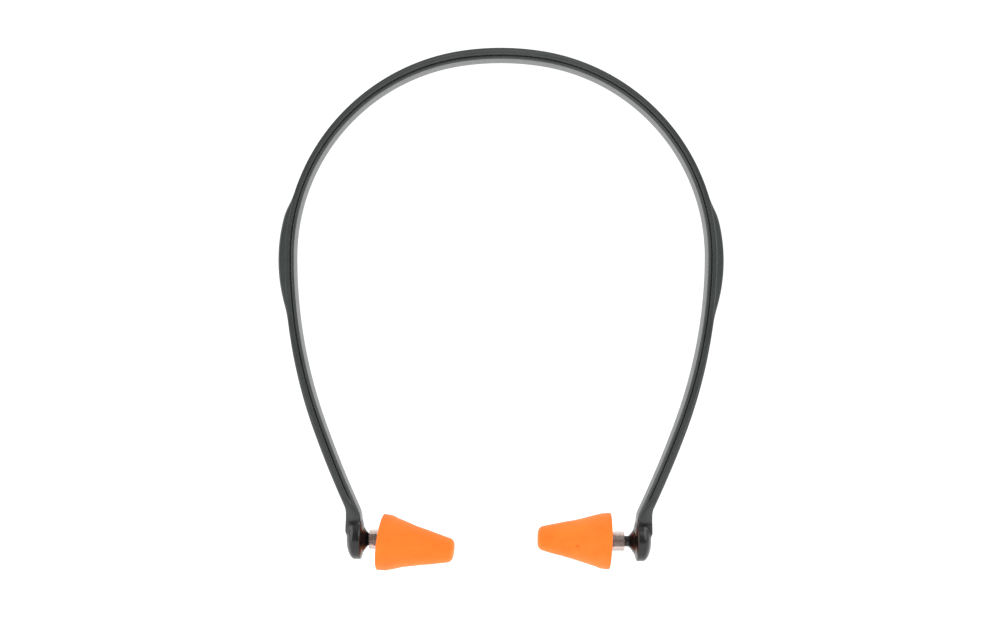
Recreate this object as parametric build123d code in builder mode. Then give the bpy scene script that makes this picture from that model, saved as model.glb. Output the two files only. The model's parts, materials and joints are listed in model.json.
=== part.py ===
"""Ear plug band: a springy one-piece headband with a conical foam pod on each end.

Frame, in millimetres: +Z up as worn, X across the head, Y through the band's depth.
The origin is the middle of the crown's inner face, where the band rests on the head.
The band is one moulding. It is cut at two points into a crown and two arms, so that
its spring flex can be two hinges. Each pod is a translucent stem with foam round it,
and slides off the black post that the arm's end disc carries.
"""
from build123d import *
import math
import os

os.makedirs("parts", exist_ok=True)

# Band: each edge runs from the crown's middle as tangent arcs, (radius, turn in degrees)
CROWN_THICKNESS = 3.4
BAND_DEPTH = 7.0
INNER_CROWN_ARC = (80.0, 8.5)
INNER_SHOULDER_RADIUS = 58.4
INNER_SIDE_ARC = (144.0, 20.0)
INNER_LOWER_ARC = (330.0, 5.0)
OUTER_CROWN_ARC = (79.0, 8.5)
OUTER_SHOULDER_RADIUS = 62.1
OUTER_SIDE_ARC = (152.5, 20.0)
OUTER_LOWER_ARC = (295.0, 4.7)
SHOULDER_END = 90.0
BAND_EDGE_CHAMFER = 0.4

# Channels along both faces of the band, which leave an inner and an outer flange
GROOVE_OFFSETS = (0.8, 2.6)
GROOVE_DEPTH = 0.8
GROOVE_LOWER_TURN = 4.4

# Grip: the outward swelling on each side of the head
GRIP_RADIUS = 50.0
GRIP_CENTRE_X = 16.3
GRIP_Z = -59.9
GRIP_START_ANGLE = -19.0
GRIP_TURN = 35.5
GRIP_TOP = (61.9, -41.4)
GRIP_CORNER_X = 61.8
GRIP_BLEND = 6.0

# Knuckle: where the crown ends and the arm begins, as the band's turn from its middle
KNUCKLE_TURN = 30.0
KNUCKLE_GAP = 0.16

# Arm end: a lens-shaped disc, a flared boss on its inner face and the post
POST_Z = -143.7
DISC_RADIUS = 5.9
DISC_INNER_X = 40.2
DISC_RIM_INNER_X = 41.5
DISC_RIM_OUTER_X = 44.0
DISC_SHOULDER_X = 45.3
DISC_OUTER_X = 45.6
BOSS_RADIUS = 3.5
BOSS_WAIST_RADIUS = 2.2
BOSS_START_X = 38.95
BOSS_WAIST_X = 39.8
POST_RADIUS = 1.6
POST_TIP_X = 30.7
POST_TIP_CHAMFER = 0.35
FOOT_Z = POST_Z + 3.0
FOOT_BEND_LOW_Z = POST_Z + 4.0
FOOT_BEND_TOP_Z = POST_Z + 12.0
FOOT_BEND = 5.0
ARM_FOOT_INNER = (41.2, FOOT_Z)
ARM_FOOT_OUTER = (45.2, FOOT_Z)

# Pod stem: a blind tube on the post, with two barbs that hold the foam
STEM_RADIUS = 2.9
STEM_LENGTH = 15.5
STEM_MOUTH_CHAMFER = 0.3
STEM_BORE_RADIUS = 1.65
STEM_BORE_DEPTH = 9.8
BARB_RADIUS = 3.35
BARB_LENGTH = 1.6
BARB_STARTS = (6.5, 10.5)
LEFT_STEM_X = -38.8
RIGHT_STEM_X = 37.5

# Foam pod: a cone with a short skirt, slightly hollow sides and a rounded tip
FOAM_BASE_RADIUS = 8.4
FOAM_SKIRT_LENGTH = 2.6
FOAM_SKIRT_RADIUS = 8.2
FOAM_MIDDLE_LENGTH = 9.0
FOAM_MIDDLE_RADIUS = 6.25
FOAM_TIP_RADIUS = 3.2
FOAM_TIP_ROUND = 2.2
FOAM_BASE_ROUND = 0.4
LEFT_FOAM_X = -35.6
LEFT_FOAM_LENGTH = 22.3
LEFT_FOAM_DROP = 0.9
LEFT_FOAM_TILT = -5.8
RIGHT_FOAM_X = 33.3
RIGHT_FOAM_LENGTH = 21.7
RIGHT_FOAM_DROP = 0.0
RIGHT_FOAM_TILT = 2.0


def turned_point(start_z, crown_arc, shoulder_radius, turn):
    """Point on one edge of the band, at a turn that lies within its shoulder arc."""
    crown_radius, crown_turn = crown_arc
    crown_angle = math.radians(crown_turn)
    angle = math.radians(turn)
    x = crown_radius * math.sin(crown_angle)
    x += shoulder_radius * (math.sin(angle) - math.sin(crown_angle))
    z = start_z - crown_radius * (1 - math.cos(crown_angle))
    z -= shoulder_radius * (math.cos(crown_angle) - math.cos(angle))
    return Vector(x, z)


KNUCKLE_ANGLE = math.radians(KNUCKLE_TURN)
KNUCKLE_TANGENT = Vector(math.cos(KNUCKLE_ANGLE), -math.sin(KNUCKLE_ANGLE))
KNUCKLE_OUTWARD = Vector(math.sin(KNUCKLE_ANGLE), math.cos(KNUCKLE_ANGLE))
INNER_KNUCKLE = turned_point(0, INNER_CROWN_ARC, INNER_SHOULDER_RADIUS, KNUCKLE_TURN)
OUTER_KNUCKLE = turned_point(CROWN_THICKNESS, OUTER_CROWN_ARC, OUTER_SHOULDER_RADIUS, KNUCKLE_TURN)
KNUCKLE = (INNER_KNUCKLE + OUTER_KNUCKLE) * 0.5
KNUCKLE_RADIUS = (OUTER_KNUCKLE - INNER_KNUCKLE).length / 2


def arc_chain(start, tangent, arcs):
    """Tangent clockwise arcs, each starting where the last one ends. Returns their far end."""
    for radius, turn in arcs:
        arc = JernArc(start, tangent, radius, -turn)
        start = arc @ 1
        tangent = arc % 1
    return start


def crown_edge(start_z, crown_arc, shoulder_radius):
    """One edge of the crown's right half, from the middle to the knuckle."""
    shoulder_arc = (shoulder_radius, KNUCKLE_TURN - crown_arc[1])
    return arc_chain((0, start_z), (1, 0), (crown_arc, shoulder_arc))


def arm_edge(start, shoulder_radius, side_arc, lower_arc):
    """One edge of the right arm, from the knuckle to where the end disc begins."""
    shoulder_arc = (shoulder_radius, SHOULDER_END - KNUCKLE_TURN)
    return arc_chain(start, KNUCKLE_TANGENT, (shoulder_arc, side_arc, lower_arc))


def inner_offset_arc(arc, offset):
    """An arc of the inner edge, moved outward by an offset."""
    radius, turn = arc
    return radius + offset, turn


# Crown
with BuildPart() as headband_crown:
    with BuildSketch(Plane.XZ):
        with BuildLine():
            inner_end = crown_edge(0, INNER_CROWN_ARC, INNER_SHOULDER_RADIUS)
            outer_end = crown_edge(CROWN_THICKNESS, OUTER_CROWN_ARC, OUTER_SHOULDER_RADIUS)
            Line(inner_end, outer_end)
            Line((0, 0), (0, CROWN_THICKNESS))
        make_face()
        mirror(about=Plane.YZ)
    extrude(amount=BAND_DEPTH / 2, both=True)
    long_edges = headband_crown.faces().filter_by(Axis.Y).edges().filter_by(lambda e: e.length > BAND_DEPTH)
    chamfer(long_edges, BAND_EDGE_CHAMFER)
    with BuildSketch(Plane.XZ):
        with Locations(KNUCKLE):
            Circle(KNUCKLE_RADIUS + KNUCKLE_GAP)
        mirror(about=Plane.YZ)
    extrude(amount=BAND_DEPTH / 2, both=True, mode=Mode.SUBTRACT)
    for face_y in (-1, 1):
        with BuildSketch(Plane.XZ.offset(-face_y * BAND_DEPTH / 2)):
            with BuildLine():
                starts = []
                ends = []
                for offset in GROOVE_OFFSETS:
                    crown_arc = inner_offset_arc(INNER_CROWN_ARC, offset)
                    starts.append((0, offset))
                    ends.append(crown_edge(offset, crown_arc, INNER_SHOULDER_RADIUS + offset))
                Line(starts[0], starts[1])
                Line(ends[0], ends[1])
            make_face()
            mirror(about=Plane.YZ)
        extrude(amount=face_y * GROOVE_DEPTH, mode=Mode.SUBTRACT)
headband_crown.part.label = "headband_crown"

# Right arm: band, grip, disc, boss and post
with BuildPart() as right_arm:
    with BuildSketch(Plane.XZ):
        with BuildLine():
            inner_end = arm_edge(INNER_KNUCKLE, INNER_SHOULDER_RADIUS, INNER_SIDE_ARC, INNER_LOWER_ARC)
            outer_end = arm_edge(OUTER_KNUCKLE, OUTER_SHOULDER_RADIUS, OUTER_SIDE_ARC, OUTER_LOWER_ARC)
            Line(INNER_KNUCKLE, OUTER_KNUCKLE)
            Line(inner_end, ARM_FOOT_INNER)
            Line(outer_end, ARM_FOOT_OUTER)
            Line(ARM_FOOT_INNER, ARM_FOOT_OUTER)
        make_face()
        with BuildLine():
            grip = CenterArc((GRIP_CENTRE_X, GRIP_Z), GRIP_RADIUS, GRIP_START_ANGLE, GRIP_TURN)
            Polyline(grip @ 1, GRIP_TOP, grip @ 0)
        make_face()
    extrude(amount=BAND_DEPTH / 2, both=True)
    corners = right_arm.edges().filter_by(Axis.Y)
    fillet(corners.filter_by(lambda e: e.center().X > GRIP_CORNER_X), GRIP_BLEND)
    corners = right_arm.edges().filter_by(Axis.Y)
    fillet(corners.filter_by(lambda e: FOOT_BEND_LOW_Z < e.center().Z < FOOT_BEND_TOP_Z), FOOT_BEND)
    flanks = right_arm.faces().filter_by(Axis.Y).edges()
    chamfer(flanks.filter_by(lambda e: e.center().Z < KNUCKLE.Y - KNUCKLE_RADIUS), BAND_EDGE_CHAMFER)
    with BuildSketch(Plane.XZ):
        with Locations(KNUCKLE):
            Circle(KNUCKLE_RADIUS)
    extrude(amount=BAND_DEPTH / 2, both=True)
    for face_y in (-1, 1):
        with BuildSketch(Plane.XZ.offset(-face_y * BAND_DEPTH / 2)):
            with BuildLine():
                starts = []
                ends = []
                for offset in GROOVE_OFFSETS:
                    bend = INNER_KNUCKLE + KNUCKLE_OUTWARD * offset
                    starts.append(bend - KNUCKLE_TANGENT * KNUCKLE_RADIUS)
                    Line(starts[-1], bend)
                    side_arc = inner_offset_arc(INNER_SIDE_ARC, offset)
                    lower_arc = (INNER_LOWER_ARC[0] + offset, GROOVE_LOWER_TURN)
                    ends.append(arm_edge(bend, INNER_SHOULDER_RADIUS + offset, side_arc, lower_arc))
                Line(starts[0], starts[1])
                Line(ends[0], ends[1])
            make_face()
        extrude(amount=face_y * GROOVE_DEPTH, mode=Mode.SUBTRACT)
    with BuildSketch(Plane.XZ):
        with BuildLine():
            post = Polyline(
                (DISC_OUTER_X, POST_Z),
                (POST_TIP_X, POST_Z),
                (POST_TIP_X, POST_Z - POST_RADIUS + POST_TIP_CHAMFER),
                (POST_TIP_X + POST_TIP_CHAMFER, POST_Z - POST_RADIUS),
                (BOSS_START_X, POST_Z - POST_RADIUS),
            )
            flare_middle = (BOSS_WAIST_X, POST_Z - BOSS_WAIST_RADIUS)
            boss = ThreePointArc(post @ 1, flare_middle, (DISC_INNER_X, POST_Z - BOSS_RADIUS))
            rim_inner = (DISC_RIM_INNER_X, POST_Z - DISC_RADIUS)
            Line(boss @ 1, rim_inner)
            rim_outer = (DISC_RIM_OUTER_X, POST_Z - DISC_RADIUS)
            Line(rim_inner, rim_outer)
            dome_middle = (DISC_SHOULDER_X, POST_Z - DISC_RADIUS / 2)
            ThreePointArc(rim_outer, dome_middle, (DISC_OUTER_X, POST_Z))
        make_face()
    revolve(axis=Axis((0, 0, POST_Z), (1, 0, 0)))
right_arm.part.label = "right_arm"

# Left arm
with BuildPart() as left_arm:
    mirror(right_arm.part, about=Plane.YZ)
left_arm.part.label = "left_arm"


def pod_plane(side, x, drop, tilt):
    """Plane whose x axis runs inward along a pod. Side is 1 on the right, -1 on the left."""
    angle = math.radians(tilt)
    inward = Vector(-side * math.cos(angle), 0, math.sin(angle))
    return Plane(origin=(x, 0, POST_Z - drop), x_dir=inward, z_dir=(0, -1, 0))


def barbed_rod(plane):
    """Outer shape of a stem, solid all through, from its mouth inward."""
    with BuildPart() as rod:
        with BuildSketch(plane):
            with BuildLine():
                outline = [(0, 0), (0, STEM_RADIUS - STEM_MOUTH_CHAMFER), (STEM_MOUTH_CHAMFER, STEM_RADIUS)]
                for barb_start in BARB_STARTS:
                    outline.append((barb_start, STEM_RADIUS))
                    outline.append((barb_start, BARB_RADIUS))
                    outline.append((barb_start + BARB_LENGTH, STEM_RADIUS))
                outline.append((STEM_LENGTH, STEM_RADIUS))
                outline.append((STEM_LENGTH, 0))
                Polyline(outline, close=True)
            make_face()
        revolve(axis=Axis(plane.origin, plane.x_dir))
    return rod.part


def pod_stem(plane, label):
    """Translucent tube, blind at its inner end."""
    with BuildPart() as stem:
        add(barbed_rod(plane))
        with BuildSketch(Plane(origin=plane.origin, z_dir=plane.x_dir)):
            Circle(STEM_BORE_RADIUS)
        extrude(amount=STEM_BORE_DEPTH, mode=Mode.SUBTRACT)
    stem.part.label = label
    return stem


def ear_foam(plane, length, stem_plane, label):
    """Foam cone, moulded round its stem."""
    with BuildPart() as foam:
        with BuildSketch(plane) as outline:
            with BuildLine():
                Polyline(
                    (0, 0),
                    (0, FOAM_BASE_RADIUS),
                    (FOAM_SKIRT_LENGTH, FOAM_SKIRT_RADIUS),
                    (FOAM_MIDDLE_LENGTH, FOAM_MIDDLE_RADIUS),
                    (length, FOAM_TIP_RADIUS),
                    (length, 0),
                    close=True,
                )
            make_face()
            base_corner = outline.vertices().group_by(Axis.X)[0].sort_by(Axis.Y)[-1]
            fillet(base_corner, FOAM_BASE_ROUND)
            tip_corner = outline.vertices().group_by(Axis.X)[-1].sort_by(Axis.Y)[-1]
            fillet(tip_corner, FOAM_TIP_ROUND)
        revolve(axis=Axis(plane.origin, plane.x_dir))
        add(barbed_rod(stem_plane), mode=Mode.SUBTRACT)
    foam.part.label = label
    return foam


# Pods
left_stem_plane = pod_plane(-1, LEFT_STEM_X, 0, 0)
right_stem_plane = pod_plane(1, RIGHT_STEM_X, 0, 0)
left_foam_plane = pod_plane(-1, LEFT_FOAM_X, LEFT_FOAM_DROP, LEFT_FOAM_TILT)
right_foam_plane = pod_plane(1, RIGHT_FOAM_X, RIGHT_FOAM_DROP, RIGHT_FOAM_TILT)
left_pod_stem = pod_stem(left_stem_plane, "left_pod_stem")
right_pod_stem = pod_stem(right_stem_plane, "right_pod_stem")
left_ear_foam = ear_foam(left_foam_plane, LEFT_FOAM_LENGTH, left_stem_plane, "left_ear_foam")
right_ear_foam = ear_foam(right_foam_plane, RIGHT_FOAM_LENGTH, right_stem_plane, "right_ear_foam")

for piece in (
    headband_crown,
    left_arm,
    right_arm,
    left_pod_stem,
    right_pod_stem,
    left_ear_foam,
    right_ear_foam,
):
    export_step(piece.part, f"parts/{piece.part.label}.step")
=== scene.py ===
"""Banded ear plugs: the looks, built on the frame of the CAD model.

Shapes are worked out in millimetres in the row frame and turned into metres when a mesh
is made. X runs across the head, Y through the band's depth, Z up, and the origin is the
middle of the crown's inner face.
"""
import json
import math

import bmesh
import bpy
import numpy as np
from mathutils import Matrix, Vector, noise


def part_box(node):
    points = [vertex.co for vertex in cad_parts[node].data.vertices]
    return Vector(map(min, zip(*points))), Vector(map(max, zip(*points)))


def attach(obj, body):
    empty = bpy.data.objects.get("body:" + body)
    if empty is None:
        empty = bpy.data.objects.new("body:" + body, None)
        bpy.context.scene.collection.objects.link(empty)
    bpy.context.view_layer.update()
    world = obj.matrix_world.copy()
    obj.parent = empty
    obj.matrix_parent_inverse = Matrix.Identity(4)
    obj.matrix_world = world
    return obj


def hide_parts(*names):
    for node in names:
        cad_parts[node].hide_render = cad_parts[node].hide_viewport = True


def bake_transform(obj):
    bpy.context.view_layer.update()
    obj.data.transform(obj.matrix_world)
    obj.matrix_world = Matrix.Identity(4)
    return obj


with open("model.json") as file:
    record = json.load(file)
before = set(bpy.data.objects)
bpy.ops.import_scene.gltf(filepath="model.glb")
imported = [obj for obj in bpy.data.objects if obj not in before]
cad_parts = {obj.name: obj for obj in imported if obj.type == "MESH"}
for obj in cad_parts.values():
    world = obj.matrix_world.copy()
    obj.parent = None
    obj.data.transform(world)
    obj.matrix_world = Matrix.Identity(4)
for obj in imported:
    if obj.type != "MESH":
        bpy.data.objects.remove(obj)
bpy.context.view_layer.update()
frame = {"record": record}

MM = 0.001

# Largest share of a straight that the rounding of one of its corners may take
LARGEST_CUT = 0.49

# Band: each edge runs from the crown's middle as tangent arcs, (radius, turn in degrees);
# a negative turn bends back outward. The last bend brings the arm upright above its disc.
CROWN_THICKNESS = 3.4
INNER_ARCS = ((80.0, 8.5), (58.4, 81.5), (144.0, 20.0), (330.0, 5.0), (8.0, -25.0))
OUTER_ARCS = ((79.0, 8.5), (62.1, 81.5), (152.5, 20.0), (295.0, 4.7), (5.0, -24.7))
STATION_STEP = 0.9
OUTER_STEP = 0.2
FEWEST_ARC_STEPS = 3

# The outer edge starts before the crown's middle and runs on below the inner one, so that every
# station's normal meets it within the reach
OUTER_START_X = -1.0
OUTER_OVERRUN = 8
NORMAL_REACH = 12

# Cross-section of the band
HALF_DEPTH = 3.5
EDGE_ROUND = 0.45
OUTER_ROUND = 0.58
FACE_CROWN = 0.03
FOOT_DOME = 0.6
FOOT_DOME_SPAN = (-95.0, -134.0)

# Its points: shares of a face's half width and of the outer flange's edge, and angles round corners
FACE_SHARES = (0, 0.3, 0.6, 0.85)
FLANGE_SHARES = (0.2, 0.4, 0.6, 0.8)
OUTER_CORNER_DEGREES = (0, 15, 35, 55, 75, 90)
INNER_CORNER_DEGREES = (90, 105, 125, 145, 165, 180)

# Channel in the band's sides: (distance from the inner face, share of the channel's depth), from
# the lip of the outer flange, down a long slope, to the lip of the inner one
CHANNEL_DEPTH = 0.8
CHANNEL_FADE = (-129.0, -133.5)
OUTER_LIP = ((2.76, 0.0), (2.68, 0.03), (2.60, 0.12), (2.50, 0.24), (2.36, 0.31))
CHANNEL_FLOOR = (
    (2.12, 0.35), (1.88, 0.39), (1.64, 0.45), (1.42, 0.56), (1.24, 0.74), (1.12, 0.90),
)
INNER_LIP = ((1.04, 0.98), (0.97, 1.0), (0.90, 0.84), (0.85, 0.48), (0.80, 0.10), (0.71, 0.0))

# Grip: a circular swelling on the outer side, met by a straight ramp at its top
GRIP_CENTRE = (16.3, -59.9)
GRIP_RADIUS = 50.0
GRIP_ANGLES = (16.5, -19.0)
GRIP_TOP = (61.9, -41.4)
GRIP_SMOOTHING = 9
GRIP_SMOOTH_PASSES = 2
GRIP_SMOOTH_SPAN = (-32.0, -86.0)

# End disc: a narrow rim between a domed outer face and a coned inner one
DISC_RADIUS = 5.9
DISC_MIDDLE_X = 42.2
DISC_RIM = (41.35, 43.05)
DISC_FACES = (40.1, 45.55)
INNER_FACE_POWERS = (1.5, 1.5)
OUTER_FACE_POWERS = (1.8, 2.2)
DISC_JOIN = 0.7
ARM_FADE = (3.0, -2.0)
DISC_TOP_SHARE = 0.78
DISC_RING_COUNT = 44
REACH_HALVINGS = 40

# Boss and post
BOSS_START_X = 38.75
BOSS_LENGTH = 2.05
BOSS_FLARE = 2.7
BOSS_POWER = 1.3
BOSS_STEPS = 14
POST_RADIUS = 1.6
POST_TIP_X = 30.7
POST_TIP_ROUND = 0.4
POST_ROOT_X = 41.8
POST_ROOT_RADIUS = 3.0
POST_AROUND = 64
WELDED_SHARP_DEGREES = 50

# Pod stem
STEM_RADIUS = 2.9
STEM_BORE_RADIUS = 1.65
STEM_BORE_DEPTH = 9.8
BARB_RADIUS = 3.35
BARB_LENGTH = 1.6
BARB_STARTS = (6.5, 10.5)
STEM_AROUND = 72

# Foam pod: (distance from the base, radius, rounding) down its side, and its tip
FOAM_PROFILE = ((0.0, 8.4, 0.3), (2.6, 8.2, 2.0), (9.0, 6.25, 40.0))
FOAM_BASE_FLAT = 2
FOAM_TIP_RADIUS = 3.3
FOAM_TIP_ROUND = 3.75
FOAM_LENGTHS = {"left": 22.3, "right": 21.7}
FOAM_TURNS = {"left": math.radians(-5), "right": 0.0}
FOAM_STEP = 0.32
FOAM_AROUND = 144

# Hole for the stem, and the rings of its blind end and of the foam's base, as shares of the way out
FOAM_HOLE_GAP = 0.04
HOLE_BARB_STEP = 0.05
HOLE_END_SHARES = (0.0, 0.5, 1.0)
FOAM_BASE_SHARES = (0.12, 0.3, 0.5, 0.75)

# Unevenness of the foam: (waves per millimetre, shift of the pattern, height), and
# dents: (centre, radius, depth)
SKIN_WAVES = ((0.32, 1, 0.09), (1.7, 2, 0.028), (4.3, 0, 0.016))
FOAM_DENTS = {"left": (), "right": (((23.4, -6.05, -144.2), 0.55, 0.65),)}

# Heights above the post's line where the band's plastic turns from polished to satin
POLISH_HEIGHTS = (5.4, 7.4)

# Floor, lights, (place, size, power), and camera, in metres and watts
FLOOR_Z = -0.215
FLOOR_HALF_WIDTH = 6
LIGHTS = {"key": ((0.6, -0.5, 0.5), 0.9, 6.0), "fill": ((-0.7, -0.3, 0.2), 0.8, 4.0)}
CAMERA_DISTANCE = 0.350
CAMERA_X = -0.0002
CAMERA_Z = -0.0754
CAMERA_ROLL = math.radians(-0.45)
FIELD_WIDTH = 0.300

# Brightness of the surroundings along Y: from, to, and the value at each
WORLD_SHADE = (-0.95, 0.1, 0.36, 1.12)


def smoothstep(value, start, end):
    """0 at start, 1 at end, eased between."""
    t = np.clip((np.asarray(value, float) - start) / (end - start), 0, 1)
    return t * t * (3 - 2 * t)


def soft_max(a, b, softness):
    """The larger of two values, with a rounded changeover."""
    return 0.5 * (a + b + np.sqrt((a - b) ** 2 + softness ** 2))


def node_box(node):
    """Lowest and highest corner of a CAD node, in millimetres."""
    low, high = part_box(node)
    return np.array(low) / MM, np.array(high) / MM


# ---------------------------------------------------------------- mesh helpers

def make_object(name, vertices, faces, material, sharp_degrees):
    """Mesh object from millimetre points, with shared points merged and smooth shading."""
    mesh = bpy.data.meshes.new(name)
    mesh.from_pydata([Vector(v) * MM for v in vertices], [], faces)
    piece = bpy.data.objects.new(name, mesh)
    bpy.context.scene.collection.objects.link(piece)
    tidy_mesh(mesh)
    mesh.shade_smooth()
    mesh.set_sharp_from_angle(angle=math.radians(sharp_degrees))
    mesh.materials.append(material)
    return piece


def tidy_mesh(mesh):
    """Merges points that coincide and makes every normal point outward."""
    work = bmesh.new()
    work.from_mesh(mesh)
    bmesh.ops.remove_doubles(work, verts=work.verts, dist=1e-7)
    bmesh.ops.dissolve_degenerate(work, dist=1e-8, edges=work.edges)
    bmesh.ops.recalc_face_normals(work, faces=work.faces)
    work.to_mesh(mesh)
    work.free()


def tube_faces(rings, around):
    """Quads between successive closed rings of points."""
    faces = []
    for ring in range(rings - 1):
        for k in range(around):
            a = ring * around + k
            b = ring * around + (k + 1) % around
            faces.append((a, b, b + around, a + around))
    return faces


def rounded_outline(corners, arc_steps=6):
    """Points of a polyline whose corners, (s, r, rounding), are replaced by arcs."""
    points = [np.array(corners[0][:2], float)]
    for before, corner, after in zip(corners, corners[1:], corners[2:]):
        here = np.array(corner[:2], float)
        if corner[2] <= 0:
            points.append(here)
            continue
        back = np.array(before[:2], float) - here
        ahead = np.array(after[:2], float) - here
        reach_back = np.linalg.norm(back)
        reach_ahead = np.linalg.norm(ahead)
        back /= reach_back
        ahead /= reach_ahead
        half = math.acos(np.clip(back @ ahead, -1, 1)) / 2
        cut = min(corner[2] / math.tan(half), LARGEST_CUT * reach_back, LARGEST_CUT * reach_ahead)
        middle = (back + ahead) / np.linalg.norm(back + ahead)
        centre = here + middle * cut / math.cos(half)
        first = here + back * cut - centre
        last = here + ahead * cut - centre
        sweep = math.atan2(first[0] * last[1] - first[1] * last[0], first @ last)
        for step in range(arc_steps + 1):
            angle = sweep * step / arc_steps
            cosine, sine = math.cos(angle), math.sin(angle)
            turn = np.array([[cosine, -sine], [sine, cosine]])
            points.append(centre + turn @ first)
    points.append(np.array(corners[-1][:2], float))
    return points


def spaced(points, step):
    """The same line with points no further apart than step."""
    line = [points[0]]
    for a, b in zip(points, points[1:]):
        count = max(1, math.ceil(np.linalg.norm(b - a) / step))
        line += [a + (b - a) * (k + 1) / count for k in range(count)]
    return line


def lathe(profile, origin, direction, around):
    """Points and faces of a profile, (distance, radius), turned about a line."""
    axis = Vector(direction).normalized()
    side = Vector((0, 1, 0))
    up = axis.cross(side)
    vertices = []
    for s, r in profile:
        for k in range(around):
            angle = 2 * math.pi * k / around
            spoke = side * math.cos(angle) + up * math.sin(angle)
            vertices.append(Vector(origin) + axis * s + spoke * r)
    return vertices, tube_faces(len(profile), around)


# ---------------------------------------------------------------- band

def walk(start, arcs, step, down_to):
    """Points and headings along tangent arcs in the XZ plane, then straight down."""
    x, z = start
    heading = 0.0
    points = [(x, z)]
    headings = [heading]
    for radius, turn in arcs:
        count = max(FEWEST_ARC_STEPS, round(radius * math.radians(abs(turn)) / step))
        part = math.radians(turn) / count
        chord = 2 * radius * math.sin(abs(part) / 2)
        for _ in range(count):
            x += chord * math.cos(heading + part / 2)
            z -= chord * math.sin(heading + part / 2)
            heading += part
            points.append((x, z))
            headings.append(heading)
    while z - step > down_to:
        z -= step
        points.append((x, z))
        headings.append(heading)
    return np.array(points), np.array(headings)


def outer_edge(down_to):
    """Points down the band's outer edge, with the grip on it."""
    base, _ = walk((0, CROWN_THICKNESS), OUTER_ARCS, OUTER_STEP, down_to)
    first, last = (math.radians(angle) for angle in GRIP_ANGLES)
    angles = np.linspace(first, last, round(GRIP_RADIUS * (first - last) / OUTER_STEP))
    swell_x = GRIP_CENTRE[0] + GRIP_RADIUS * np.cos(angles)
    swell_z = GRIP_CENTRE[1] + GRIP_RADIUS * np.sin(angles)
    slope = spaced([np.array(GRIP_TOP), np.array((swell_x[0], swell_z[0]))], OUTER_STEP)
    above = base[base[:, 1] > GRIP_TOP[1]]
    below = base[base[:, 1] < swell_z[-1]]
    line = np.vstack([above, slope, np.column_stack([swell_x, swell_z])[1:], below])
    shifts = range(-GRIP_SMOOTHING, GRIP_SMOOTHING + 1)
    for _ in range(GRIP_SMOOTH_PASSES):
        mean = sum(np.roll(line, shift, axis=0) for shift in shifts) / len(shifts)
        middle = (line[:, 1] < GRIP_SMOOTH_SPAN[0]) & (line[:, 1] > GRIP_SMOOTH_SPAN[1])
        line = np.where(middle[:, None], mean, line)
    return np.vstack([(OUTER_START_X, CROWN_THICKNESS), line])


def thickness_at(point, tangent, normal, outer):
    """Distance along the normal from the inner edge to the outer edge."""
    along = (outer - point) @ tangent
    near = np.abs(outer - point).max(axis=1) < NORMAL_REACH
    i = next(k for k in range(len(outer) - 1) if near[k] and along[k] <= 0 < along[k + 1])
    share = along[i] / (along[i] - along[i + 1])
    return (outer[i] + (outer[i + 1] - outer[i]) * share - point) @ normal


def section(thickness, channel_depth, dome):
    """Half of the band's cross-section, (outward, depth), from its outer face to its inner one."""
    flat = HALF_DEPTH - OUTER_ROUND
    half = [(thickness - FACE_CROWN * share ** 2, share * flat) for share in FACE_SHARES]
    corner = thickness - FACE_CROWN - OUTER_ROUND
    for degrees in OUTER_CORNER_DEGREES:
        angle = math.radians(degrees)
        half.append((corner + OUTER_ROUND * math.cos(angle), flat + OUTER_ROUND * math.sin(angle)))
    lip = OUTER_LIP[0][0]
    for share in FLANGE_SHARES:
        half.append((corner + (lip - corner) * share, HALF_DEPTH))
    for u, depth in OUTER_LIP + CHANNEL_FLOOR + INNER_LIP:
        half.append((u, HALF_DEPTH - channel_depth * depth))
    flat = HALF_DEPTH - EDGE_ROUND
    for degrees in INNER_CORNER_DEGREES:
        angle = math.radians(degrees)
        edge = FACE_CROWN + EDGE_ROUND + EDGE_ROUND * math.cos(angle)
        half.append((edge, flat + EDGE_ROUND * math.sin(angle)))
    half += [(FACE_CROWN * share ** 2, share * flat) for share in reversed(FACE_SHARES)]
    return [(u, v * (1 - dome / HALF_DEPTH * (2 * u / thickness - 1) ** 2)) for u, v in half]


def full_section(thickness, channel_depth, dome):
    """The whole cross-section as a closed loop."""
    half = section(thickness, channel_depth, dome)
    mirrored = [(u, -v) for u, v in reversed(half[1:-1])]
    return np.array(half + mirrored)


def disc_radius(x):
    """Radius of the end disc at each X: full at its rim, falling to nothing over its two faces."""
    (rim_inner, rim_outer), (inner_face, outer_face) = DISC_RIM, DISC_FACES
    inner = np.clip((rim_inner - x) / (rim_inner - inner_face), 0, 1)
    outer = np.clip((x - rim_outer) / (outer_face - rim_outer), 0, 1)
    inner_share = (1 - inner ** INNER_FACE_POWERS[0]) ** (1 / INNER_FACE_POWERS[1])
    outer_share = (1 - outer ** OUTER_FACE_POWERS[0]) ** (1 / OUTER_FACE_POWERS[1])
    return DISC_RADIUS * inner_share * outer_share


def disc_reach(angles, height):
    """How far the end disc reaches from its middle at each angle, in a level cut at a height."""
    inside = np.zeros(len(angles))
    outside = np.full(len(angles), 2 * DISC_RADIUS)
    for _ in range(REACH_HALVINGS):
        middle = (inside + outside) / 2
        radius = disc_radius(DISC_MIDDLE_X + middle * np.cos(angles))
        within = height ** 2 + (middle * np.sin(angles)) ** 2 < radius ** 2
        inside = np.where(within, middle, inside)
        outside = np.where(within, outside, middle)
    return inside


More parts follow.
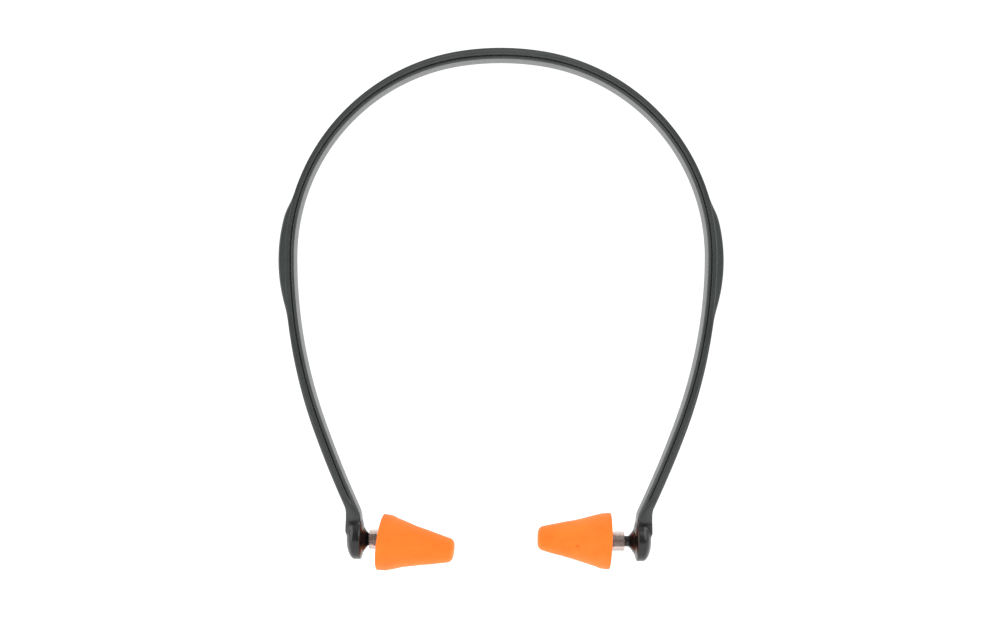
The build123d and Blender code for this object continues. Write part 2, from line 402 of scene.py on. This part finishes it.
def band_rings(post_z):
    """Rings of points down the right half of the band, from the crown's middle to the disc."""
    end_z = post_z + DISC_RADIUS
    inner, headings = walk((0, 0), INNER_ARCS, STATION_STEP, end_z)
    outer = outer_edge(end_z - OUTER_OVERRUN)
    rings = []
    for point, heading in zip(inner, headings):
        tangent = np.array((math.cos(heading), -math.sin(heading)))
        normal = np.array((math.sin(heading), math.cos(heading)))
        thickness = thickness_at(point, tangent, normal, outer)
        depth = CHANNEL_DEPTH * (1 - smoothstep(point[1], *CHANNEL_FADE))
        dome = FOOT_DOME * smoothstep(point[1], *FOOT_DOME_SPAN)
        loop = full_section(thickness, depth, dome)
        rings.append([(point[0] + u * normal[0], v, point[1] + u * normal[1]) for u, v in loop])
    return rings


def disc_rings(arm_ring, post_z):
    """Level rings that turn the arm's last cross-section into the end disc."""
    arm = np.array(arm_ring)
    across = arm[:, 0] - DISC_MIDDLE_X
    angles = np.arctan2(arm[:, 1], across)
    arm_reach = np.hypot(across, arm[:, 1])
    rings = []
    for share in np.linspace(DISC_TOP_SHARE, -1, DISC_RING_COUNT):
        height = DISC_RADIUS * math.sin(share * math.pi / 2)
        reach = disc_reach(angles, height)
        kept = arm_reach * (1 - smoothstep(height, *ARM_FADE))
        joined = soft_max(reach, kept, DISC_JOIN * (reach > 0) * (kept > 0).max())
        if share == -1:
            joined = np.zeros(len(angles))
        x = DISC_MIDDLE_X + joined * np.cos(angles)
        y = joined * np.sin(angles)
        rings.append([(px, py, post_z + height) for px, py in zip(x, y)])
    return rings


def post_profile():
    """Boss and post from inside the disc to the post's tip, (X, radius)."""
    root = [(POST_ROOT_X, 0.0), (POST_ROOT_X, POST_ROOT_RADIUS)]
    flare = []
    for step in range(BOSS_STEPS + 1):
        share = 1 - step / BOSS_STEPS
        radius = POST_RADIUS + BOSS_FLARE * share ** BOSS_POWER
        flare.append((BOSS_START_X + share * BOSS_LENGTH, radius))
    tip = rounded_outline((
        (BOSS_START_X, POST_RADIUS, 0),
        (POST_TIP_X, POST_RADIUS, POST_TIP_ROUND),
        (POST_TIP_X, 0, 0),
    ))
    return root + flare + [tuple(point) for point in tip[1:]]


def band_half(name, side, material, post_z):
    """One half of the headband moulding, side 1 on the right and -1 on the left."""
    rings = band_rings(post_z)
    rings += disc_rings(rings[-1], post_z)
    around = len(rings[0])
    vertices = [(side * x, y, z) for ring in rings for x, y, z in ring]
    faces = tube_faces(len(rings), around)
    faces.append(tuple(range(around)))
    band = make_object(name, vertices, faces, material, sharp_degrees=60)
    profile = [(POST_ROOT_X - x, r) for x, r in post_profile()]
    points, quads = lathe(profile, (side * POST_ROOT_X, 0, post_z), (-side, 0, 0), POST_AROUND)
    post = make_object(name + "_post", points, quads, material, sharp_degrees=40)
    join_solids(band, post)
    return band


def join_solids(target, other):
    """Welds another solid onto the target, so that both are one closed surface."""
    union = target.modifiers.new("union", "BOOLEAN")
    union.operation = "UNION"
    union.solver = "EXACT"
    union.object = other
    bpy.context.view_layer.update()
    evaluated = target.evaluated_get(bpy.context.evaluated_depsgraph_get())
    joined = bpy.data.meshes.new_from_object(evaluated)
    target.modifiers.clear()
    old = target.data
    target.data = joined
    bpy.data.meshes.remove(old)
    bpy.data.objects.remove(other)
    joined.set_sharp_from_angle(angle=math.radians(WELDED_SHARP_DEGREES))


# ---------------------------------------------------------------- pods

def stem_profile(length):
    """Outline of a stem, from its bore's blind end round the mouth to its inner end.

    Its corners are (distance from the mouth, radius, rounding).
    """
    corners = [
        (STEM_BORE_DEPTH, 0, 0),
        (STEM_BORE_DEPTH, STEM_BORE_RADIUS, 0.3),
        (0, STEM_BORE_RADIUS, 0.15),
        (0, STEM_RADIUS, 0.3),
    ]
    for start in BARB_STARTS:
        corners.append((start, STEM_RADIUS, 0.05))
        corners.append((start, BARB_RADIUS, 0.1))
        corners.append((start + BARB_LENGTH, STEM_RADIUS, 0.5))
    corners.append((length, STEM_RADIUS, 0.4))
    corners.append((length, 0, 0))
    return rounded_outline(corners, arc_steps=4)


def pod_stem(name, side, material):
    """Translucent tube of one pod, placed and sized by its CAD node."""
    low, high = node_box(name)
    mouth_x = high[0] if side > 0 else low[0]
    axis_z = (low[2] + high[2]) / 2
    profile = stem_profile(high[0] - low[0])
    points, faces = lathe(profile, (mouth_x, 0, axis_z), (-side, 0, 0), STEM_AROUND)
    return make_object(name + "_clear", points, faces, material, sharp_degrees=45)


def foam_side(length):
    """Points down the foam's side from the edge of its base to the tip, (distance, radius)."""
    start = (0, FOAM_PROFILE[0][1] - FOAM_BASE_FLAT, 0)
    tip = (length, FOAM_TIP_RADIUS, FOAM_TIP_ROUND)
    corners = (start, *FOAM_PROFILE, tip, (length, 0, 0))
    line = rounded_outline(corners, arc_steps=8)
    return spaced(line, FOAM_STEP)


def ear_foam(word, side, tip_mount, material):
    """Foam cone that points at its ear mount, with a hole for its stem."""
    length = FOAM_LENGTHS[word]
    axis = Vector(tip_mount["axis"]).normalized()
    middle = Vector(tip_mount["pos_m"]) / MM - axis * length / 2
    axis.rotate(Matrix.Rotation(FOAM_TURNS[word], 3, "Z"))
    base = middle - axis * length / 2
    spoke_b = axis.cross(Vector((0, 1, 0))).normalized()
    spoke_a = spoke_b.cross(axis)
    rings = hole_rings(side, f"{word}_pod_stem", base, axis)
    hole_edge = rings[-1]
    side_line = foam_side(length)
    base_edge = foam_ring(base + axis * side_line[0][0], side_line[0][1], spoke_a, spoke_b)
    for share in FOAM_BASE_SHARES:
        rings.append([a.lerp(b, share) for a, b in zip(hole_edge, base_edge)])
    for s, r in side_line:
        ring = foam_ring(base + axis * s, r, spoke_a, spoke_b)
        rings.append([foam_skin(point, base, axis, FOAM_DENTS[word]) for point in ring])
    vertices = [point for ring in rings for point in ring]
    faces = tube_faces(len(rings), FOAM_AROUND)
    return make_object(f"{word}_ear_foam_pod", vertices, faces, material, sharp_degrees=65)


def foam_ring(centre, radius, first, second):
    """Ring of points round a centre, in the plane of two directions."""
    ring = []
    for k in range(FOAM_AROUND):
        angle = 2 * math.pi * k / FOAM_AROUND
        ring.append(centre + (first * math.cos(angle) + second * math.sin(angle)) * radius)
    return ring


def hole_rings(side, stem_node, base, axis):
    """Rings of the stem's hole, from its blind end out to the foam's base."""
    low, high = node_box(stem_node)
    stem_z = (low[2] + high[2]) / 2
    stem_end, stem_mouth = (low[0], high[0]) if side > 0 else (high[0], low[0])
    across = Vector((0, 1, 0))
    inward = Vector((-side, 0, 0))
    upward = inward.cross(across)
    mouth = Vector((base.x, 0, stem_z))
    blind = Vector((stem_end - side * FOAM_HOLE_GAP, 0, stem_z))
    end_radius = STEM_RADIUS + FOAM_HOLE_GAP
    rings = [foam_ring(blind, end_radius * share, across, upward) for share in HOLE_END_SHARES]
    wall = hole_wall((blind - mouth).length, abs(stem_mouth - base.x))
    for distance, radius in reversed(wall):
        centre = mouth + inward * distance
        rings.append(foam_ring(centre, radius + FOAM_HOLE_GAP, across, upward))
    rings[-1] = [on_plane(point, base, axis) for point in rings[-1]]
    return rings


def hole_wall(length, overlap):
    """Foam hole's wall, which follows the stem's barbs: (distance from the base, radius)."""
    wall = [(0.0, STEM_RADIUS)]
    for start in BARB_STARTS:
        at = start - overlap
        if 0 < at < length:
            wall.append((at - HOLE_BARB_STEP, STEM_RADIUS))
            wall.append((at, BARB_RADIUS))
            wall.append((at + BARB_LENGTH, STEM_RADIUS))
    wall.append((length, STEM_RADIUS))
    return wall


def on_plane(point, origin, normal):
    """Slides a point along X onto a plane."""
    shift = (origin - point).dot(normal) / normal.x
    return point + Vector((shift, 0, 0))


def foam_skin(point, base, axis, dents):
    """Moves a point of the foam's surface by the foam's fine unevenness and its dents."""
    along = (point - base).dot(axis)
    spoke = point - base - axis * along
    outward = spoke.normalized() if spoke.length > 1e-6 else axis
    shift = 0
    for waves, pattern, height in SKIN_WAVES:
        shift += noise.noise(point * waves + base * pattern) * height
    for centre, radius, depth in dents:
        distance = (point - Vector(centre)).length
        shift -= depth * math.exp(-(distance / radius) ** 2)
    return point + outward * shift


# ---------------------------------------------------------------- materials

def new_material(name):
    """Material with an empty node tree apart from a Principled shader and its output."""
    material = bpy.data.materials.new(name)
    material.use_nodes = True
    tree = material.node_tree
    tree.nodes.clear()
    output = tree.nodes.new("ShaderNodeOutputMaterial")
    shader = tree.nodes.new("ShaderNodeBsdfPrincipled")
    tree.links.new(shader.outputs["BSDF"], output.inputs["Surface"])
    return material, tree, shader


def object_coordinates(tree):
    """Coordinates that stay with the piece, in metres."""
    return tree.nodes.new("ShaderNodeTexCoord").outputs["Object"]


def noise_node(tree, coordinates, scale, detail=2.0, roughness=0.5):
    """Noise texture; scale is in waves per metre."""
    node = tree.nodes.new("ShaderNodeTexNoise")
    node.inputs["Scale"].default_value = scale
    node.inputs["Detail"].default_value = detail
    node.inputs["Roughness"].default_value = roughness
    tree.links.new(coordinates, node.inputs["Vector"])
    return node


def ramp(tree, source, stops):
    """Colour ramp over a value; stops are (position, colour)."""
    node = tree.nodes.new("ShaderNodeValToRGB")
    elements = node.color_ramp.elements
    while len(elements) < len(stops):
        elements.new(0.5)
    for element, (position, colour) in zip(elements, stops):
        element.position = position
        element.color = (*colour, 1)
    tree.links.new(source, node.inputs["Fac"])
    return node.outputs["Color"]


def mix_colours(tree, factor, first, second, blend="MIX"):
    """Mixes or multiplies two colours; the factor is a number or a socket."""
    node = tree.nodes.new("ShaderNodeMix")
    node.data_type = "RGBA"
    node.blend_type = blend
    sockets = [socket for socket in node.inputs if socket.enabled]
    if isinstance(factor, float):
        sockets[0].default_value = factor
    else:
        tree.links.new(factor, sockets[0])
    tree.links.new(first, sockets[1])
    tree.links.new(second, sockets[2])
    return next(socket for socket in node.outputs if socket.enabled)


def map_range(tree, source, low, high):
    """Maps 0 to 1 onto low to high."""
    node = tree.nodes.new("ShaderNodeMapRange")
    node.inputs["To Min"].default_value = low
    node.inputs["To Max"].default_value = high
    tree.links.new(source, node.inputs["Value"])
    return node.outputs["Result"]


def bump(tree, height, distance, strength, normal=None):
    """Bump of a real height in metres."""
    node = tree.nodes.new("ShaderNodeBump")
    node.inputs["Distance"].default_value = distance
    node.inputs["Strength"].default_value = strength
    tree.links.new(height, node.inputs["Height"])
    if normal is not None:
        tree.links.new(normal, node.inputs["Normal"])
    return node.outputs["Normal"]


def band_plastic(post_z):
    """Moulded near-black plastic with a greenish cast: a satin texture, polished at the discs."""
    material, tree, shader = new_material("band_plastic")
    place = object_coordinates(tree)
    parts = tree.nodes.new("ShaderNodeSeparateXYZ")
    tree.links.new(place, parts.inputs["Vector"])
    texture = tree.nodes.new("ShaderNodeMapRange")
    texture.interpolation_type = "SMOOTHSTEP"
    texture.inputs["From Min"].default_value = (post_z + POLISH_HEIGHTS[0]) * MM
    texture.inputs["From Max"].default_value = (post_z + POLISH_HEIGHTS[1]) * MM
    tree.links.new(parts.outputs["Z"], texture.inputs["Value"])
    textured = texture.outputs["Result"]
    cloud = noise_node(tree, place, scale=140, detail=3)
    satin = ramp(tree, cloud.outputs["Fac"], (
        (0.3, (0.022, 0.026, 0.025)),
        (0.7, (0.030, 0.035, 0.033)),
    ))
    polished = ramp(tree, cloud.outputs["Fac"], (
        (0.3, (0.004, 0.004, 0.004)),
        (0.7, (0.007, 0.007, 0.007)),
    ))
    tree.links.new(mix_colours(tree, textured, polished, satin), shader.inputs["Base Color"])
    flow = noise_node(tree, place, scale=420, detail=2)
    rough_satin = map_range(tree, flow.outputs["Fac"], low=0.22, high=0.34)
    rough_polished = map_range(tree, flow.outputs["Fac"], low=0.18, high=0.28)
    roughness = tree.nodes.new("ShaderNodeMix")
    tree.links.new(textured, roughness.inputs["Factor"])
    tree.links.new(rough_polished, roughness.inputs["A"])
    tree.links.new(rough_satin, roughness.inputs["B"])
    tree.links.new(roughness.outputs["Result"], shader.inputs["Roughness"])
    grain = noise_node(tree, place, scale=5200, detail=1, roughness=0.6)
    fine = bump(tree, grain.outputs["Fac"], distance=0.00001, strength=0.5)
    ripple = noise_node(tree, place, scale=650, detail=1)
    surface = bump(tree, ripple.outputs["Fac"], distance=0.00002, strength=0.35, normal=fine)
    tree.links.new(surface, shader.inputs["Normal"])
    shader.inputs["IOR"].default_value = 1.46
    return material


def stem_plastic():
    """Milky translucent plastic."""
    material, tree, shader = new_material("stem_plastic")
    place = object_coordinates(tree)
    cloud = noise_node(tree, place, scale=300, detail=2)
    colour = ramp(tree, cloud.outputs["Fac"], (
        (0.3, (0.60, 0.50, 0.46)),
        (0.7, (0.68, 0.58, 0.54)),
    ))
    tree.links.new(colour, shader.inputs["Base Color"])
    roughness = map_range(tree, cloud.outputs["Fac"], low=0.08, high=0.16)
    tree.links.new(roughness, shader.inputs["Roughness"])
    shader.inputs["Transmission Weight"].default_value = 0.86
    shader.inputs["IOR"].default_value = 1.42
    return material


def foam_orange():
    """Soft foam with fine open cells, matte, bright orange, with painted shade in the cells'
    hollows.
    """
    material, tree, shader = new_material("ear_foam")
    place = object_coordinates(tree)
    cells = tree.nodes.new("ShaderNodeTexVoronoi")
    cells.feature = "F1"
    cells.inputs["Scale"].default_value = 3300
    tree.links.new(place, cells.inputs["Vector"])
    cloud = noise_node(tree, place, scale=170, detail=3, roughness=0.55)
    colour = ramp(tree, cloud.outputs["Fac"], (
        (0.3, (0.93, 0.162, 0.011)),
        (0.7, (0.97, 0.190, 0.017)),
    ))
    # Painted shade: towards the middle of each foam cell, where the bump sinks it into a hollow,
    # the colour turns darker and browner
    cell_hollow_painted_shade = ramp(tree, cells.outputs["Distance"], (
        (0.0, (0.86, 0.80, 0.74)),
        (0.35, (1.0, 1.0, 1.0)),
    ))
    colour_with_painted_cell_shade = mix_colours(tree, 1.0, colour, cell_hollow_painted_shade, blend="MULTIPLY")
    tree.links.new(colour_with_painted_cell_shade, shader.inputs["Base Color"])
    surface = bump(tree, cells.outputs["Distance"], distance=0.00006, strength=0.45)
    tree.links.new(surface, shader.inputs["Normal"])
    shader.inputs["Roughness"].default_value = 0.85
    shader.inputs["Specular IOR Level"].default_value = 0.25
    shader.inputs["Subsurface Weight"].default_value = 0.25
    shader.inputs["Subsurface Radius"].default_value = (1.0, 0.45, 0.15)
    shader.inputs["Subsurface Scale"].default_value = 0.0015
    shader.inputs["Sheen Weight"].default_value = 0.15
    shader.inputs["Sheen Roughness"].default_value = 0.5
    return material


def floor_white():
    """Plain pale floor."""
    material, tree, shader = new_material("pale_floor")
    place = object_coordinates(tree)
    cloud = noise_node(tree, place, scale=3, detail=2)
    colour = ramp(tree, cloud.outputs["Fac"], (
        (0.3, (0.93, 0.93, 0.93)),
        (0.7, (0.96, 0.96, 0.96)),
    ))
    tree.links.new(colour, shader.inputs["Base Color"])
    shader.inputs["Roughness"].default_value = 0.9
    shader.inputs["Emission Color"].default_value = (1, 1, 1, 1)
    shader.inputs["Emission Strength"].default_value = 0.25
    return material


# ---------------------------------------------------------------- lights

def area_light(name, place, target, size, power):
    """Square soft light that faces a point."""
    data = bpy.data.lights.new(name, "AREA")
    data.shape = "SQUARE"
    data.size = size
    data.energy = power
    light = bpy.data.objects.new(name, data)
    light.location = place
    aim = Vector(target) - Vector(place)
    light.rotation_euler = aim.to_track_quat("-Z", "Y").to_euler()
    bpy.context.scene.collection.objects.link(light)


# ---------------------------------------------------------------- assembly

mounts = {mount["name"]: mount for mount in frame["record"]["mounts"]}
stem_low, stem_high = node_box("right_pod_stem")
post_line_z = (stem_low[2] + stem_high[2]) / 2

band_material = band_plastic(post_line_z)
stem_material = stem_plastic()
foam_material = foam_orange()

for side, word in ((1, "right"), (-1, "left")):
    arm = f"{word}_arm"
    half = band_half(f"headband_{word}_half", side, band_material, post_line_z)
    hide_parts(arm, "headband_crown")
    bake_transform(half)

    stem = pod_stem(f"{word}_pod_stem", side, stem_material)
    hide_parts(f"{word}_pod_stem")
    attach(stem, f"{word}_pod")

    foam = ear_foam(word, side, mounts[f"{word}_ear_tip"], foam_material)
    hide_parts(f"{word}_ear_foam")
    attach(foam, f"{word}_pod")

# ---------------------------------------------------------------- floor, light and camera

floor_mesh = bpy.data.meshes.new("floor")
floor_corners = [
    (x * FLOOR_HALF_WIDTH, y * FLOOR_HALF_WIDTH, FLOOR_Z)
    for x, y in ((-1, -1), (1, -1), (1, 1), (-1, 1))
]
floor_mesh.from_pydata(floor_corners, [], [(0, 1, 2, 3)])
floor = bpy.data.objects.new("floor", floor_mesh)
bpy.context.scene.collection.objects.link(floor)
floor_mesh.materials.append(floor_white())

for light_name, (place, size, power) in LIGHTS.items():
    area_light(light_name, place, (0, 0, CAMERA_Z), size, power)

# White all round and behind the object, darker on the side that the front faces mirror
world = bpy.data.worlds.new("studio")
world.use_nodes = True
world_tree = world.node_tree
direction = world_tree.nodes.new("ShaderNodeTexCoord").outputs["Generated"]
split = world_tree.nodes.new("ShaderNodeSeparateXYZ")
world_tree.links.new(direction, split.inputs["Vector"])
shade = world_tree.nodes.new("ShaderNodeMapRange")
shade.interpolation_type = "SMOOTHSTEP"
for socket, value in zip(("From Min", "From Max", "To Min", "To Max"), WORLD_SHADE):
    shade.inputs[socket].default_value = value
world_tree.links.new(split.outputs["Y"], shade.inputs["Value"])
world_tree.links.new(shade.outputs["Result"], world_tree.nodes["Background"].inputs["Strength"])
world_tree.nodes["Background"].inputs["Color"].default_value = (1, 1, 1, 1)
bpy.context.scene.world = world

camera_data = bpy.data.cameras.new("camera")
camera_data.sensor_width = 36
camera_data.lens = camera_data.sensor_width * CAMERA_DISTANCE / FIELD_WIDTH
camera_data.clip_start = 0.01
camera = bpy.data.objects.new("camera", camera_data)
camera.location = (CAMERA_X, -CAMERA_DISTANCE, CAMERA_Z)
camera.rotation_euler = (math.pi / 2, CAMERA_ROLL, 0)
bpy.context.scene.collection.objects.link(camera)
bpy.context.scene.camera = camera
bpy.context.scene.view_settings.view_transform = "Standard"
